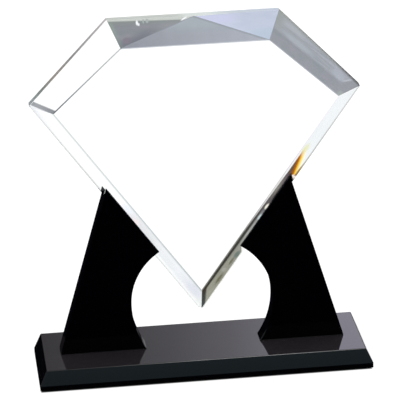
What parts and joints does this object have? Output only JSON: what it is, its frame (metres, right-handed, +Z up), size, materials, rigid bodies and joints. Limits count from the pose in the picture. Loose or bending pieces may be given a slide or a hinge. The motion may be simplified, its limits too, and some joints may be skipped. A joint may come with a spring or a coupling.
{
  "type": "crystal award",
  "caption": "Free-standing award: a clear bevelled crystal plaque in a cut-gem outline, seated point down in grooved black crystal supports on a sloped black base.",
  "frame": {"origin": "centre of the felt pad's underside, on the surface that the award stands on", "axes": "+X along the base to the viewer's right, +Y from the front to the back, +Z up"},
  "size_m": [0.2512, 0.0736, 0.2754],
  "materials": {
    "clear_crystal": "polished, clear",
    "black_crystal": "polished, opaque black",
    "adhesive": "clear cured film",
    "felt": "short black felt"
  },
  "bodies": {
    "root": {"crystal_plaque": "clear_crystal", "left_support": "black_crystal", "right_support": "black_crystal", "base": "black_crystal", "plaque_bond_left": "adhesive", "plaque_bond_right": "adhesive", "support_bond_left": "adhesive", "support_bond_right": "adhesive", "felt_pad": "felt"}
  },
  "joints": []
}
